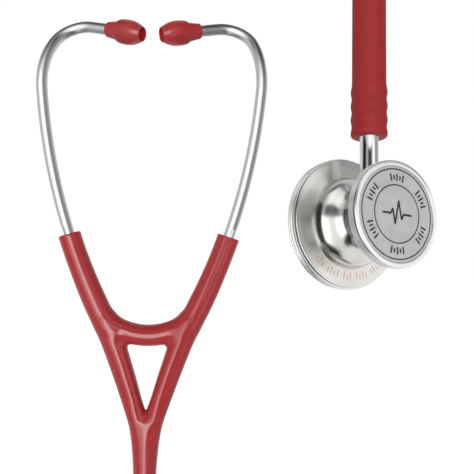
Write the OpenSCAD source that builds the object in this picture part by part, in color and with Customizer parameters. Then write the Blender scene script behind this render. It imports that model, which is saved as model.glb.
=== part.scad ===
// Two-sided stethoscope: sprung headset with a moulded yoke, twin-lumen tubing
// and a steel chestpiece that turns on its stem. Millimetres, +Z up, front towards -Y.
// The origin is the middle of the underside of the yoke's crossbar. "Right" is +X.

/* [Tubing] */
// Outside diameter of the soft tubing
tube_d = 12.1; // [11:0.1:13]
// Diameter of each of the two sound channels
lumen_d = 3.2; // [2.4:0.1:4]
// Distance between the two channel centres
lumen_gap = 4.8; // [4:0.1:5.6]
// Radius of the overhead turn of the tubing
turn_r = 24; // [20:0.5:30]

/* [Headset] */
// Outside diameter of the steel ear tubes
ear_d = 6; // [5:0.1:7]
// Wall thickness of the steel ear tubes
ear_wall = 0.8; // [0.5:0.1:1.2]
// Outside diameter of the soft arms
arm_d = 12.1; // [11:0.1:13]
// Half the spacing of the ear tubes where they leave the arms
arm_x = 44.55; // [42:0.05:47]
// Height of the ear tubes' exit above the crossbar
arm_z = 64; // [62:0.5:66]
// Lean of the ear tubes where they leave the arms, in degrees
lean = 17.73; // [17:0.01:19]
// Roll of the ear tubes' upper bend towards the back, in degrees
back = 47.7; // [30:0.1:55]
// Roll of the ear ends' bend towards the front, in degrees
forward = 64.8; // [50:0.1:70]
// Thickness of the leaf spring
spring_t = 1.2; // [0.8:0.1:1.3]

/* [Eartips] */
// Largest diameter of an eartip
tip_d = 13.3; // [12:0.1:14.5]
// Length of an eartip
tip_len = 22.6; // [21.5:0.1:23.5]

/* [Chestpiece] */
// Diameter of the small sound head
small_d = 36.2; // [35:0.1:38]
// Diameter of the large sound head
large_d = 47.6; // [46:0.1:50]
// Diameter of the steel stem
stem_d = 6.5; // [6:0.1:7]
// Turn of the chestpiece about its stem, in degrees
head_turn = 29.7; // [0:0.1:60]

/* [Fits] */
// Radial gap of every running fit
gap = 0.05; // [0.02:0.01:0.1]

/* [Hidden] */
$fn = 64;

red = [0.64, 0.17, 0.18];
tip_red = [0.66, 0.15, 0.17];
steel = [0.78, 0.77, 0.75];
chrome = [0.86, 0.87, 0.88];
brass = [0.8, 0.66, 0.36];
dark = [0.16, 0.16, 0.17];
insert_grey = [0.82, 0.82, 0.8];
dot_white = [0.9, 0.9, 0.9];
large_film = [0.86, 0.86, 0.84];
small_film = [0.8, 0.8, 0.8];

tube_r = tube_d / 2;
arm_r = arm_d / 2;
ear_r = ear_d / 2;
lumen_r = lumen_d / 2;
lumen_x = lumen_gap / 2;
stem_r = stem_d / 2;
lap = 0.02; // radial step of the short pieces that overlap a joint

// --- Arcs: [start, direction, side it bends to, radius, angle] ---
function unit(v) = v / norm(v);
function square_to(v, axis) = unit(v - (v * axis) * axis);
function arc_point(arc, angle) =
    arc[0] + arc[3] * sin(angle) * arc[1] + arc[3] * (1 - cos(angle)) * arc[2];
function arc_dir(arc, angle) = cos(angle) * arc[1] + sin(angle) * arc[2];
function arc_side(arc, angle) = cos(angle) * arc[2] - sin(angle) * arc[1];
function arc_end(arc) = arc_point(arc, arc[4]);
function arc_out(arc) = arc_dir(arc, arc[4]);
// The part of an arc between two of its angles
function arc_cut(arc, from, to) =
    [arc_point(arc, from), arc_dir(arc, from), arc_side(arc, from), arc[3], to - from];
// The arc that leaves start along dir and reaches end
function arc_to(start, dir, end) =
    let(chord = end - start, side = square_to(chord, dir))
    [start, dir, side, (chord * chord) / (2 * (chord * side)),
        2 * atan2(chord * side, chord * dir)];
// The arc that carries on from another, its side rolled about the direction
function arc_on(arc, roll, radius, angle) =
    let(dir = arc_out(arc), side = arc_side(arc, arc[4]))
    [arc_end(arc), dir, cos(roll) * side + sin(roll) * cross(dir, side), radius, angle];
// Two arcs that leave start along dir0 and reach end along dir1
function biarc(start, dir0, end, dir1) =
    let(span = end - start, sum = dir0 + dir1, k = 2 * (1 - dir0 * dir1),
        along = span * sum,
        reach = (sqrt(along * along + k * (span * span)) - along) / k,
        middle = (start + dir0 * reach + end - dir1 * reach) / 2,
        first = arc_to(start, dir0, middle))
    [first, arc_to(middle, arc_out(first), end)];
// A sideways direction v carried from the start of an arc to its end
function carry(arc, v) =
    let(normal = cross(arc[1], arc[2]))
    (v * normal) * normal + (v * arc[1]) * arc_out(arc) + (v * arc[2]) * arc_side(arc, arc[4]);
// The same, carried through the first count arcs of a list
function carried(arcs, v, count) =
    count == 0 ? v : carry(arcs[count - 1], carried(arcs, v, count - 1));

// --- Headset centrelines, right side ---
ear_exit = [arm_x, 0, arm_z];
ear_axis = [sin(lean), 0, cos(lean)];
ear_inward = [-cos(lean), 0, sin(lean)];
ear_lower = [ear_exit, ear_axis, ear_inward, 335.5, 12.86];
ear_upper = arc_on(ear_lower, -back, 41.2, 42.42);
ear_last = arc_on(ear_upper, forward, 15, 90.25);
ear_root = 16.5; // length of ear tube inside the arm
ear_end = 16.7; // straight length after the last bend
barb_depth = 15;
barb_len = 2;
tip_axis = arc_out(ear_last);
tip_side = arc_side(ear_last, ear_last[4]);
tip_base = arc_end(ear_last) + 10.7 * tip_axis;

// The arm and the yoke's leg meet in cones at the pivot
arm_angle = 7.275;
arm_line = [ear_exit, -ear_axis, ear_inward, 338.65, arm_angle];
arm_arc = arc_cut(arm_line, 0.804, arm_angle);
pivot_len = 5; // straight length on each side of the pivot
pivot_slope = 15;
pivot_axis = arc_out(arm_arc);
pivot = arc_end(arm_arc) + pivot_len * pivot_axis;

leg_splay = 18.8;
leg_axis = [-sin(leg_splay), 0, -cos(leg_splay)];
leg_top = [17, 0, -2];
leg_arcs = biarc(pivot + pivot_len * pivot_axis, pivot_axis, leg_top, leg_axis);
trunk_z = -62; // bottom of the yoke
bar_z = 42.3; // centre of the crossbar's curve
bar_r = 36.4;

// --- Chestpiece place and the tubing's route to it ---
head_centre = [93.3, -129, 66.4];
stem_tilt = [-8.366, 0.637, 0];
stem_axis = [cos(stem_tilt[0]) * sin(stem_tilt[1]), -sin(stem_tilt[0]),
    cos(stem_tilt[0]) * cos(stem_tilt[1])];
stem_across = unit([1, 0, -stem_axis[0] / stem_axis[2]]);
link_len = 7; // straight length on each side of a link
link1_slope = 15;
link2_slope = 18;
top_len = 12; // straight length under the yoke
drop_len = 84; // from the end of the overhead turn to the chestpiece's centre
top = [0, 0, trunk_z - top_len];
link1 = [50, -40, -105];
link1_axis = unit([0.75, -0.56, 0.32]);
way1 = [136, -106, -50];
way1_dir = unit([0.6, -0.4, 0.7]);
way2 = [150, -119, 8];
way2_dir = unit([0.02, -0.02, 1]);
turn_end = head_centre + drop_len * stem_axis;
turn_start = turn_end + 2 * turn_r * stem_across;
link2 = turn_start - link_len * stem_axis;
upper_arcs = biarc(top, [0, 0, -1], link1 - link_len * link1_axis, link1_axis);
run_arcs = concat(
    biarc(link1 + link_len * link1_axis, link1_axis, way1, way1_dir),
    biarc(way1, way1_dir, way2, way2_dir),
    biarc(way2, way2_dir, link2 - link_len * stem_axis, stem_axis));
turn = [turn_start, stem_axis, -stem_across, turn_r, 180];

// Direction from one channel to the other along the route
top_side = [1, 0, 0];
link1_side = square_to(carried(upper_arcs, top_side, 2), link1_axis);
link2_side = square_to(carried(run_arcs, link1_side, 6), stem_axis);
drop_side = carry(turn, link2_side);

// --- Shared shapes ---
module at(origin, z, x) {
    y = cross(z, x);
    multmatrix([
        [x[0], y[0], z[0], origin[0]],
        [x[1], y[1], z[1], origin[1]],
        [x[2], y[2], z[2], origin[2]],
        [0, 0, 0, 1]]) children();
}
module along(origin, z) { at(origin, z, unit(cross([0, 1, 0], z))) children(); }
module both_sides() {
    children();
    mirror([1, 0, 0]) children();
}
module turned(profile) { rotate_extrude() polygon(profile); } // profile is [radius, height]
module sweep(arc) {
    at(arc[0] + arc[3] * arc[2], cross(arc[1], arc[2]), -arc[2])
        rotate_extrude(angle = arc[4]) translate([arc[3], 0]) children();
}
module slab(length) { translate([0, 0, -length / 2]) linear_extrude(height = length) children(); }
module rod(start, axis, radius, length) { along(start, axis) cylinder(r = radius, h = length); }
// A straight length along +Z, closed by a shallow cone just short of the origin
module coned_end(radius, swell, length, slope) {
    rise = radius * tan(slope);
    clear = 0.05;
    translate([0, 0, -length]) cylinder(r = radius + swell, h = length - clear - rise);
    translate([0, 0, -rise - clear]) cylinder(r1 = radius + swell, r2 = 0.2, h = rise);
}
module pivot_end() { coned_end(arm_r, lap, pivot_len + 0.2, pivot_slope); }

// --- Yoke ---
module leg_bends(radius, joint_len) {
    for (arc = leg_arcs) sweep(arc) circle(r = radius);
    for (joint = [leg_arcs[1], [leg_top, leg_axis]])
        along(joint[0], joint[1]) translate([0, 0, -joint_len / 2])
            cylinder(r = radius + lap, h = joint_len);
}
module yoke_half() {
    leg_bends(arm_r, 0.5);
    along(leg_top, leg_axis) cylinder(r1 = arm_r, r2 = arm_r - 0.4, h = 43.5);
    along(pivot, -pivot_axis) pivot_end();
}
// The right channel, from the pivot down to the trunk
module yoke_channel() {
    inset = leg_top[0] - lumen_x;
    rod(pivot - pivot_axis, pivot_axis, lumen_r + lap, pivot_len + 1.2);
    leg_bends(lumen_r, 0.6);
    rod(leg_top, leg_axis, lumen_r, inset / sin(leg_splay) + 0.6);
    translate([lumen_x, 0, trunk_z - 1])
        cylinder(r = lumen_r, h = leg_top[2] - inset / tan(leg_splay) - trunk_z + 1.6);
}
module bar_sweep(half_angle) {
    translate([0, 0, bar_z]) rotate([90, 0, 0]) rotate([0, 0, -90 - half_angle])
        rotate_extrude(angle = 2 * half_angle) children();
}
module spring_shape(thickness, width, half_angle) {
    bar_sweep(half_angle) translate([bar_r - thickness / 2, -width / 2]) square([thickness, width]);
}
// Right half of the web under the crossbar, [x, z], with the window's rounded top corner
web_half = concat([[18.7, 5.3], [14.6, -4.4], [10.19, -4.4]],
    [for (i = [0 : 6]) let(angle = -leg_splay + i * (90 + leg_splay) / 6)
        [8.9 + 2 * cos(angle), -2 + 2 * sin(angle)]]);
web = concat(web_half,
    [for (i = [len(web_half) - 1 : -1 : 0]) [-web_half[i][0], web_half[i][1]]]);
web_t = 7.2;
module trunk() {
    shoulder_x = 3.4;
    shoulder_r = 5.9;
    shoulder_z = -42;
    hull() {
        translate([shoulder_x, 0, shoulder_z]) cylinder(r = shoulder_r, h = 0.5, $fn = 36);
        translate([-shoulder_x, 0, shoulder_z]) cylinder(r = shoulder_r, h = 0.5, $fn = 36);
        translate([0, 0, trunk_z]) cylinder(r = tube_r, h = 0.5, $fn = 36);
    }
}
module yoke() {
    color(red) difference() {
        union() {
            both_sides() yoke_half();
            bar_sweep(42) translate([bar_r, 0]) circle(r = 5.85);
            translate([0, web_t / 2, 0]) rotate([90, 0, 0])
                linear_extrude(height = web_t) polygon(web);
            trunk();
        }
        both_sides() yoke_channel();
        spring_shape(spring_t + 0.3, spring_w + 0.4, spring_angle + 1);
    }
}
spring_w = 6;
spring_angle = 30; // half the angle the spring spans
module leaf_spring() { color(steel) spring_shape(spring_t, spring_w, spring_angle); }

// --- Arms and ear tubes ---
module arm_right() {
    recess_gap = 0.4; // at each end of the barb
    color(red) difference() {
        union() {
            sweep(arm_arc) circle(r = arm_r);
            along(pivot, pivot_axis) pivot_end();
        }
        rod(ear_exit + ear_axis, -ear_axis, ear_r + gap, ear_root + 2);
        rod(ear_exit - (barb_depth - barb_len - recess_gap) * ear_axis, -ear_axis,
            ear_r + 0.65, barb_len + 2 * recess_gap);
        sweep(arc_cut(arm_line, 2.8, arm_angle)) circle(r = lumen_r);
        rod(pivot - (pivot_len + 0.3) * pivot_axis, pivot_axis, lumen_r + lap, pivot_len + 1.5);
    }
}
module ear_ring(step = 0) {
    difference() {
        circle(r = ear_r + step);
        circle(r = ear_r - ear_wall - step);
    }
}
module ear_tube_right() {
    joint_len = 0.4;
    color(chrome) {
        at(ear_exit, ear_axis, ear_inward) translate([0, 0, -ear_root])
            linear_extrude(height = ear_root) ear_ring();
        for (arc = [ear_lower, ear_upper, ear_last]) {
            sweep(arc) ear_ring();
            at(arc[0], arc[1], arc[2]) slab(joint_len) ear_ring(lap);
        }
        at(arc_end(ear_last), tip_axis, tip_side) {
            linear_extrude(height = ear_end) ear_ring();
            slab(joint_len) ear_ring(lap);
        }
    }
}
module root_barb_right() {
    profile = [[ear_r, 0], [ear_r + 0.3, 0], [ear_r + 0.55, 1.6], [ear_r + 0.55, barb_len],
        [ear_r, barb_len]];
    color(brass) along(ear_exit - barb_depth * ear_axis, ear_axis) turned(profile);
}
module tip_insert_right() {
    profile = [[ear_r + gap, 0.8], [4, 0.8], [4.15, 1.1], [4.15, 1.6], [3.85, 1.9],
        [4.15, 2.2], [4.15, 2.7], [3.85, 3], [4.15, 3.3], [4.15, 3.8], [3.85, 4.1],
        [4.15, 4.4], [4.15, 8.6], [3.9, 9], [1.6, 9], [1.6, 6.2], [ear_r + gap, 6.2]];
    color(insert_grey) at(tip_base, tip_axis, tip_side) turned(profile);
}
module eartip_right() {
    mouth_r = ear_r + 0.3;
    bore_r = 1.5;
    sleeve = [[mouth_r, 0], [3.5, 0], [4.25, 0.9], [4.35, 2.2], [4.65, 4.2], [5.05, 6.2],
        [5.35, 7.6], [5.4, 9], [5.4, 11], [mouth_r, 11]];
    bulb = [[bore_r, 8.8], [5.5, 7.6], [5.85, 7.7], [6.2, 8.5], [6.5, 10], [6.62, 11.8],
        [tip_d / 2, 13.2], [6.57, 14.8], [6.33, 16.4], [5.95, 17.9], [5.45, 19.3],
        [4.85, 20.6], [4.35, 21.6], [4.0, tip_len - 0.25], [3.75, tip_len],
        [3.45, tip_len - 0.1], [3.3, tip_len - 0.6], [3.15, tip_len - 2.4],
        [bore_r, tip_len - 3.4]];
    color(tip_red) at(tip_base, tip_axis, tip_side) rotate_extrude() difference() {
        union() {
            polygon(sleeve);
            polygon(bulb);
        }
        translate([0, -1]) square([mouth_r, 1.8]);
        translate([0, 0.7]) square([4.2, 8.5]); // pocket for the insert
        translate([0, 9]) square([bore_r, 14]);
    }
}
module arm_left() { mirror([1, 0, 0]) arm_right(); }
module ear_tube_left() { mirror([1, 0, 0]) ear_tube_right(); }
module root_barb_left() { mirror([1, 0, 0]) root_barb_right(); }
module tip_insert_left() { mirror([1, 0, 0]) tip_insert_right(); }
module eartip_left() { mirror([1, 0, 0]) eartip_right(); }

// --- Tubing ---
module section(step = 0) {
    difference() {
        circle(r = tube_r + step);
        translate([lumen_x, 0]) circle(r = lumen_r - step);
        translate([-lumen_x, 0]) circle(r = lumen_r - step);
    }
}
module tube_joint() { slab(0.5) section(lap); }
// A bent piece of tubing whose channels lie along side at its start
module tube_bend(arc, side) {
    sweep(arc) rotate(atan2(side * cross(arc[1], arc[2]), -(side * arc[2]))) section();
    at(arc[0], arc[1], square_to(side, arc[1])) tube_joint();
}
module tube_bends(arcs, side) {
    for (i = [0 : len(arcs) - 1]) tube_bend(arcs[i], carried(arcs, side, i));
}
module channels(radius, start, length) {
    for (s = [-1, 1]) translate([s * lumen_x, 0, start]) cylinder(r = radius, h = length);
}
// One side of a link, pointing along axis
module link_end(origin, axis, side, slope) {
    at(origin, axis, side) difference() {
        coned_end(tube_r, 2 * lap, link_len + 0.35, slope);
        channels(lumen_r - 2 * lap, -link_len - 1, link_len + 2);
    }
}
module tube_upper() {
    color(red) {
        translate(top) linear_extrude(height = top_len) section();
        tube_bends(upper_arcs, top_side);
        link_end(link1, link1_axis, link1_side, link1_slope);
    }
}
module tube_run() {
    color(red) {
        link_end(link1, -link1_axis, link1_side, link1_slope);
        tube_bends(run_arcs, link1_side);
        link_end(link2, stem_axis, link2_side, link2_slope);
    }
}
// The flared, ribbed end of the tubing, in the stem frame
rib_z = 30.6;
rib_pitch = 5.1;
function rib(z) = tube_r + 0.26 + 0.15 * cos(360 * (z - rib_z) / rib_pitch);
module grip() {
    turned(concat([[0, 29.4], [5.75, 29.4], [6, 29.6]],
        [for (i = [0 : 20]) let(z = rib_z + i * rib_pitch / 6) [rib(z), z]],
        [[tube_r + 0.04, 48.9], [tube_r + 0.04, 49.3], [0, 49.3]]));
}
module tube_drop() {
    color(red) {
        link_end(link2, -stem_axis, link2_side, link2_slope);
        tube_bend(turn, link2_side);
        at(turn_end, -stem_axis, drop_side) tube_joint();
        difference() {
            union() {
                at(turn_end, -stem_axis, drop_side) cylinder(r = tube_r, h = drop_len - 48.8);
                stem_frame() grip();
            }
            at(turn_end, -stem_axis, drop_side) channels(lumen_r, -1, 35);
            // Socket for the stem, widening into a funnel short of the channels
            stem_frame() {
                translate([0, 0, 28.5]) cylinder(r = stem_r, h = 20.5);
                translate([0, 0, stem_top]) cylinder(r1 = stem_r, r2 = 3.9, h = 1.8);
            }
        }
    }
}

// --- Stem ---
// Stem frame: +Z up the stem from the middle of the chestpiece, -Y towards the small head
module stem_frame() {
    translate(head_centre) rotate(stem_tilt) rotate([0, 0, head_turn]) children();
}
journal_r = 2.75; // the part of the stem inside the chestpiece
stem_top = 48.9;
dot_z = 13.2;
module dot_disc(y, radius, depth) {
    translate([0, y, dot_z]) rotate([90, 0, 0]) cylinder(r = radius, h = depth);
}
module stem() {
    // Grooves, going up: snap ring, detent, seal
    profile = [[0, -5.6], [2.45, -5.6], [journal_r, -5.3],
        [journal_r, -4.3], [2.4, -4.3], [2.4, -3.4], [journal_r, -3.4],
        [journal_r, 3.9], [2.4, 4.35], [2.4, 5.05], [journal_r, 5.5],
        [journal_r, 7.7], [2.2, 7.7], [2.2, 8.7], [journal_r, 8.7],
        [journal_r, 10.8], [3.1, 10.8], [stem_r, 11], [stem_r, 48.4],
        [3.0, stem_top], [0, stem_top]];
    color(chrome) stem_frame() difference() {
        turned(profile);
        translate([0, 0, -1.6]) cylinder(r = 1.5, h = 52);
        rotate([90, 0, 0]) cylinder(r = 1.3, h = 4);
        dot_disc(-2.95, 0.9, 1);
    }
}
module stem_seal() {
    color(dark) stem_frame() translate([0, 0, 8.2])
        rotate_extrude() translate([2.49, 0]) circle(r = 0.28);
}
module snap_ring() {
    color(steel) stem_frame() translate([0, 0, -4.2]) difference() {
        rotate_extrude() translate([2.45, 0]) square([0.7, 0.7]);
        translate([0, 0, -1]) cube([5, 0.9, 3]);
    }
}
module index_dot() { color(dot_white) stem_frame() dot_disc(-2.96, 0.88, 0.28); }

// --- Chestpiece ---
// Head frame: +Z towards the small head, +Y up the stem
module head_frame() { stem_frame() rotate([90, 0, 0]) children(); }
small_r = small_d / 2;
large_r = large_d / 2;
small_seat = small_r - 0.95; // radii of the body inside the rims
large_seat = large_r - 1.3;
detent_y = 4.7;
module up_stem(y) { translate([0, y, 0]) rotate([-90, 0, 0]) children(); }
module detent_line(x) { translate([x, detent_y, 0]) rotate([0, 90, 0]) children(); }
module chestpiece_body() {
    outline = [[0, -13.4], [large_seat, -13.4], [large_seat, -11.2], [large_r - 0.7, -11.2],
        [large_r - 0.6, -10.9], [21.2, -10.55], [18.5, -10.4], [16.8, -10.25], [16, -10.2],
        [15.6, -9.9], [15.3, -8.9], [14.85, -7.5], [14.1, -6.3], [12.9, -5.2], [11.4, -4.2],
        [10.2, -3.2], [9.4, -2], [8.9, -0.6], [8.8, 0.6], [9, 1.8], [9.5, 3.1], [10.7, 4.9],
        [12.3, 6.8], [14.1, 8.4], [16, 9.7], [small_r - 0.7, 10.3], [small_r - 0.6, 10.5],
        [small_seat, 10.5], [small_seat, 12.25], [0, 12.25]];
    large_bowl = [[0, -14], [large_r - 3.6, -14], [large_r - 3.6, -13.1], [6, -11.9],
        [1.6, -11.2], [0, -11.2]];
    small_bowl = [[0, 13], [small_r - 3, 13], [small_r - 3, 12.05], [5, 11.1],
        [1.6, 10.4], [0, 10.4]];
    color(steel) head_frame() difference() {
        union() {
            rotate_extrude() difference() {
                polygon(outline);
                polygon(large_bowl);
                polygon(small_bowl);
            }
            up_stem(0) cylinder(r = 4.4, h = 10.6);
            detent_line(0) cylinder(r = 2.3, h = 8.4);
        }
        up_stem(-5.9) cylinder(r = journal_r + gap, h = 17);
        up_stem(-4.5) cylinder(r = 3.3, h = 1.3); // room for the snap ring
        translate([0, 0, -12]) cylinder(r = 1.6, h = 23);
        detent_line(1.5) cylinder(r = 1.05, h = 4.8);
        detent_line(6.2) cylinder(r = 1.5, h = 3);
    }
}
module rim_large() {
    inner = large_seat + gap;
    profile = [[inner, -11.4], [large_r - 0.35, -11.4], [large_r, -11.75], [large_r, -12.5],
        [large_r - 0.25, -12.7], [large_r - 0.25, -12.95], [large_r, -13.15],
        [large_r, -13.9], [large_r - 0.25, -14.1], [large_r - 0.25, -14.35],
        [large_r - 0.08, -14.5], [large_r - 0.08, -15.1], [large_r - 0.4, -15.4],
        [large_r - 2.2, -15.4], [large_r - 2.4, -15.2], [large_r - 2.4, -15], [inner, -15]];
    color(steel) head_frame() turned(profile);
}
module rim_small() {
    inner = small_seat + gap;
    profile = [[inner, 10.7], [small_r - 0.4, 10.7], [small_r - 0.1, 11.1], [small_r, 11.8],
        [small_r, 12.6], [small_r - 0.12, 13.2], [small_r - 0.45, 13.75],
        [small_r - 0.9, 14.1], [small_r - 1.3, 14.2], [small_r - 1.7, 14.1],
        [small_r - 1.9, 13.85], [small_r - 1.9, 13.75], [inner, 13.75]];
    color(chrome) head_frame() turned(profile);
}
module gasket_large() {
    profile = [[large_r - 3.2, -13.44], [large_r - 3.2, -13.9], [large_r - 1.95, -13.9],
        [large_r - 1.95, -14.96], [large_seat, -14.96], [large_seat, -13.44]];
    color(dark) head_frame() turned(profile);
}
module gasket_small() {
    profile = [[small_r - 2.6, 12.29], [small_r - 2.6, 12.7], [small_r - 1.5, 12.7],
        [small_r - 1.5, 13.71], [small_seat, 13.71], [small_seat, 12.29]];
    color(dark) head_frame() turned(profile);
}
module diaphragm_large() {
    profile = [[0, -14.55], [large_r - 2, -14.55], [large_r - 2, -14.95],
        [large_r - 2.6, -14.95], [large_r - 2.6, -15.1], [0, -15.1]];
    color(large_film) head_frame() turned(profile);
}
module diaphragm_small() {
    profile = [[0, 13.3], [small_r - 1.55, 13.3], [small_r - 1.55, 13.7],
        [small_r - 2.05, 13.7], [small_r - 2.05, 13.82], [0, 13.82]];
    color(small_film) head_frame() turned(profile);
}
module detent_ball() { color(chrome) head_frame() translate([3.45, detent_y, 0]) sphere(r = 1); }
// The spring is a pleated sleeve
module detent_spring() {
    pleats = [[0.55, 0], [0.95, 0.2], [0.7, 0.4], [0.95, 0.6], [0.7, 0.8], [0.95, 1],
        [0.7, 1.2], [0.95, 1.4], [0.55, 1.6]];
    bore = [[0, -1], [0.45, -1], [0.45, 2], [0, 2]];
    color(steel) head_frame() detent_line(4.5) rotate_extrude() difference() {
        polygon(pleats);
        polygon(bore);
    }
}
module detent_screw() {
    color(dark) head_frame() detent_line(6.25) difference() {
        cylinder(r = 1.47, h = 2);
        translate([0, 0, 1]) cylinder(r = 0.75, h = 2, $fn = 6);
    }
}

yoke();
leaf_spring();
arm_right();
arm_left();
ear_tube_right();
ear_tube_left();
root_barb_right();
root_barb_left();
tip_insert_right();
tip_insert_left();
eartip_right();
eartip_left();
tube_upper();
tube_run();
tube_drop();
stem();
stem_seal();
snap_ring();
index_dot();
chestpiece_body();
rim_large();
rim_small();
gasket_large();
gasket_small();
diaphragm_large();
diaphragm_small();
detent_ball();
detent_spring();
detent_screw();
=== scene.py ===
"""A stethoscope: a moulded red headset with chrome ear tubes, a looping tube and a
two-sided chestpiece.

The frame is +Z up with -Y towards the camera. The headset stands in the XZ plane, centred on
X = 0, and the chestpiece hangs at the right (+X) in front of it. Lengths are in millimetres
until a mesh is made; Blender's own units are metres.
"""
import bpy, bmesh, math
import numpy as np
from typing import NamedTuple
from mathutils import Vector, Matrix


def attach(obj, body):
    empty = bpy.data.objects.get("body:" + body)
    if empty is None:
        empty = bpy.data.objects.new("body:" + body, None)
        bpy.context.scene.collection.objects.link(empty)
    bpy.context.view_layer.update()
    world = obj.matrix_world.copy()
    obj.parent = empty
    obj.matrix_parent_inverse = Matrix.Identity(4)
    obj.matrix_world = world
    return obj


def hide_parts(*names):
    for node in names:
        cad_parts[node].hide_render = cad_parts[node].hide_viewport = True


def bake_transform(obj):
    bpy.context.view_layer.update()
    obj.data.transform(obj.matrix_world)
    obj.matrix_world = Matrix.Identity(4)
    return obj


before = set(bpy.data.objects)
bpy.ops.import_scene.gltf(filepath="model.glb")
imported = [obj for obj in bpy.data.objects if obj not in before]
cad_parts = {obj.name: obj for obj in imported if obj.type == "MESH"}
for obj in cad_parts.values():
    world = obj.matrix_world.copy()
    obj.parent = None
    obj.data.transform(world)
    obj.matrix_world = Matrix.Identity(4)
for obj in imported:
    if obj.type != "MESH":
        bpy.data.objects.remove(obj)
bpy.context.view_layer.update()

rad, deg = math.radians, math.degrees
scene = bpy.context.scene
MM = 0.001


# ------------------------------------------------------------------ directions and frames
def unit(v):
    v = np.asarray(v, float)
    return v / np.linalg.norm(v)


def rotation(axis, degrees):
    """Rotation matrix about the x, y or z axis."""
    i = ("xyz".index(axis) + 1) % 3
    j = (i + 1) % 3
    angle = rad(degrees)
    turn = np.eye(3)
    turn[i, i] = turn[j, j] = math.cos(angle)
    turn[i, j] = -math.sin(angle)
    turn[j, i] = math.sin(angle)
    return turn


def placement(axes, origin):
    """Blender matrix from a rotation and an origin in mm."""
    rows = [[*map(float, row), float(o) * MM] for row, o in zip(axes, origin)]
    return Matrix(rows + [[0, 0, 0, 1]])


# Chestpiece: the stem runs along +Z of its own frame and along +Y of the head's frame
HEAD_CENTRE = np.array([93.3, -129.0, 66.4])
STEM_AXES = rotation("y", 0.637) @ rotation("x", -8.366) @ rotation("z", 29.7)
HEAD_AXES = STEM_AXES @ rotation("x", 90)
STEM_UP = STEM_AXES[:, 2]
STEM_SIDE = unit([1, 0, -STEM_UP[0] / STEM_UP[2]])     # square to the stem, to the right
STEM_FRAME = placement(STEM_AXES, HEAD_CENTRE)
HEAD_FRAME = placement(HEAD_AXES, HEAD_CENTRE)
SMALL_R = 18.1      # outer radius of the small side, which faces local +Z
LARGE_R = 23.8      # outer radius of the large side, which faces local -Z

# Where the right ear tube enters the headset
EAR_ROOT = np.array([44.55, 0, 64.0])
EAR_LEAN = rad(17.73)
EAR_UP = np.array([math.sin(EAR_LEAN), 0, math.cos(EAR_LEAN)])
EAR_IN = np.array([-math.cos(EAR_LEAN), 0, math.sin(EAR_LEAN)])


# ------------------------------------------------------------------ paths
class Straight(NamedTuple):
    start: np.ndarray
    heading: np.ndarray
    length: float

    def point(self, distance):
        return self.start + distance * self.heading

    def heading_at(self, distance):
        return self.heading

    def stations(self, step):
        return np.linspace(0, self.length, max(2, math.ceil(self.length / step) + 1))


class Arc(NamedTuple):
    start: np.ndarray
    heading: np.ndarray
    bend: np.ndarray        # unit vector from the start to the arc's centre
    radius: float
    angle: float

    def point(self, turn):
        return (self.start + self.radius * math.sin(turn) * self.heading
                + self.radius * (1 - math.cos(turn)) * self.bend)

    def heading_at(self, turn):
        return math.cos(turn) * self.heading + math.sin(turn) * self.bend

    def bend_at(self, turn):
        return math.cos(turn) * self.bend - math.sin(turn) * self.heading

    def stations(self, step):
        """Close enough for the step, and never more than 5 degrees apart."""
        count = max(3, math.ceil(self.radius * self.angle / step) + 1,
                    math.ceil(deg(self.angle) / 5) + 1)
        return np.linspace(0, self.angle, count)


def arc_to(start, heading, end):
    chord = end - start
    bend = unit(chord - (chord @ heading) * heading)
    return Arc(start, heading, bend, (chord @ chord) / (2 * (chord @ bend)),
               2 * math.atan2(chord @ bend, chord @ heading))


def biarc(start, start_heading, end, end_heading):
    """Two arcs that join two points with given headings."""
    chord = end - start
    total = start_heading + end_heading
    k = 2 * (1 - start_heading @ end_heading)
    reach = (math.sqrt((chord @ total) ** 2 + k * (chord @ chord)) - chord @ total) / k
    middle = (start + reach * start_heading + end - reach * end_heading) / 2
    first = arc_to(start, start_heading, middle)
    return [first, arc_to(middle, first.heading_at(first.angle), end)]


def rolled_arc(previous, roll, radius, angle):
    """Arc that carries on from another, its bend rolled about the heading (degrees)."""
    heading, bend = previous.heading_at(previous.angle), previous.bend_at(previous.angle)
    bend = math.cos(rad(roll)) * bend + math.sin(rad(roll)) * np.cross(heading, bend)
    return Arc(previous.point(previous.angle), heading, bend, radius, rad(angle))


def trace(pieces, step):
    """Points and headings along a chain of arcs and straights."""
    points, headings = [], []
    for piece in pieces:
        for station in piece.stations(step)[1 if points else 0:]:
            points.append(piece.point(station))
            headings.append(piece.heading_at(station))
    return np.array(points), np.array(headings)


def hermite(start, start_slope, end, end_slope, u):
    return ((2 * u**3 - 3 * u**2 + 1) * start + (u**3 - 2 * u**2 + u) * start_slope
            + (-2 * u**3 + 3 * u**2) * end + (u**3 - u**2) * end_slope)


def spline(points, per, even=False):
    """Smooth curve through 2D points with per pieces in each gap.

    Slopes are weighted by the gap lengths, or treat all gaps as equal if even is set.
    """
    knots = [np.array(p, float) for p in points]
    knots = [2 * knots[0] - knots[1], *knots, 2 * knots[-1] - knots[-2]]
    curve = []
    for before, start, end, after in zip(knots, knots[1:], knots[2:], knots[3:]):
        steps = (start - before, end - start, after - end)
        gap0, gap, gap2 = (1, 1, 1) if even else map(np.linalg.norm, steps)
        slope0 = (steps[0] / gap0 * gap + steps[1] / gap * gap0) / (gap0 + gap) * gap
        slope1 = (steps[1] / gap * gap2 + steps[2] / gap2 * gap) / (gap + gap2) * gap
        curve += [hermite(start, slope0, end, slope1, k / per) for k in range(per)]
    return curve + [knots[-2]]


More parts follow.
